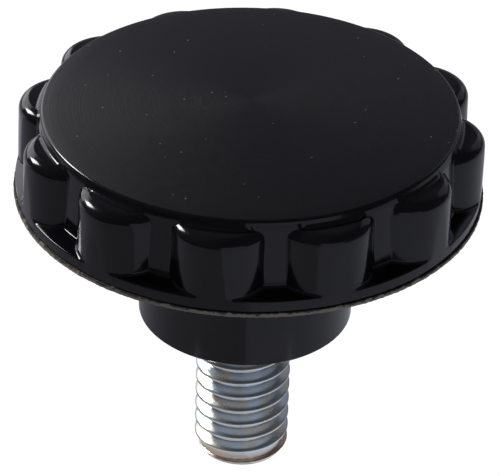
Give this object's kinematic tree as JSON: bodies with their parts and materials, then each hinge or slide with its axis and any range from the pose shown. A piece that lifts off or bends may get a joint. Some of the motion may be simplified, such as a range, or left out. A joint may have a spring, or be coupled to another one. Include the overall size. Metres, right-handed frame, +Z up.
{
  "type": "lobed clamping knob",
  "caption": "Black moulded clamping knob with a round lobed rim, a crowned top, a thin flange, a plain hub below and a threaded steel stud.",
  "frame": {"origin": "centre of the hub's underside, where the knob seats and the stud comes out", "axes": "+Z up the knob's axis from the stud to the crowned top; +X through the middle of a gap between two lobes"},
  "size_m": [0.0381, 0.038, 0.0336],
  "materials": {
    "phenolic": "moulded gloss black, with a satin turned top face",
    "plated_steel": "bright zinc plate on a rolled thread"
  },
  "bodies": {
    "root": {"knob_head": "phenolic", "threaded_stud": "plated_steel"}
  },
  "joints": []
}
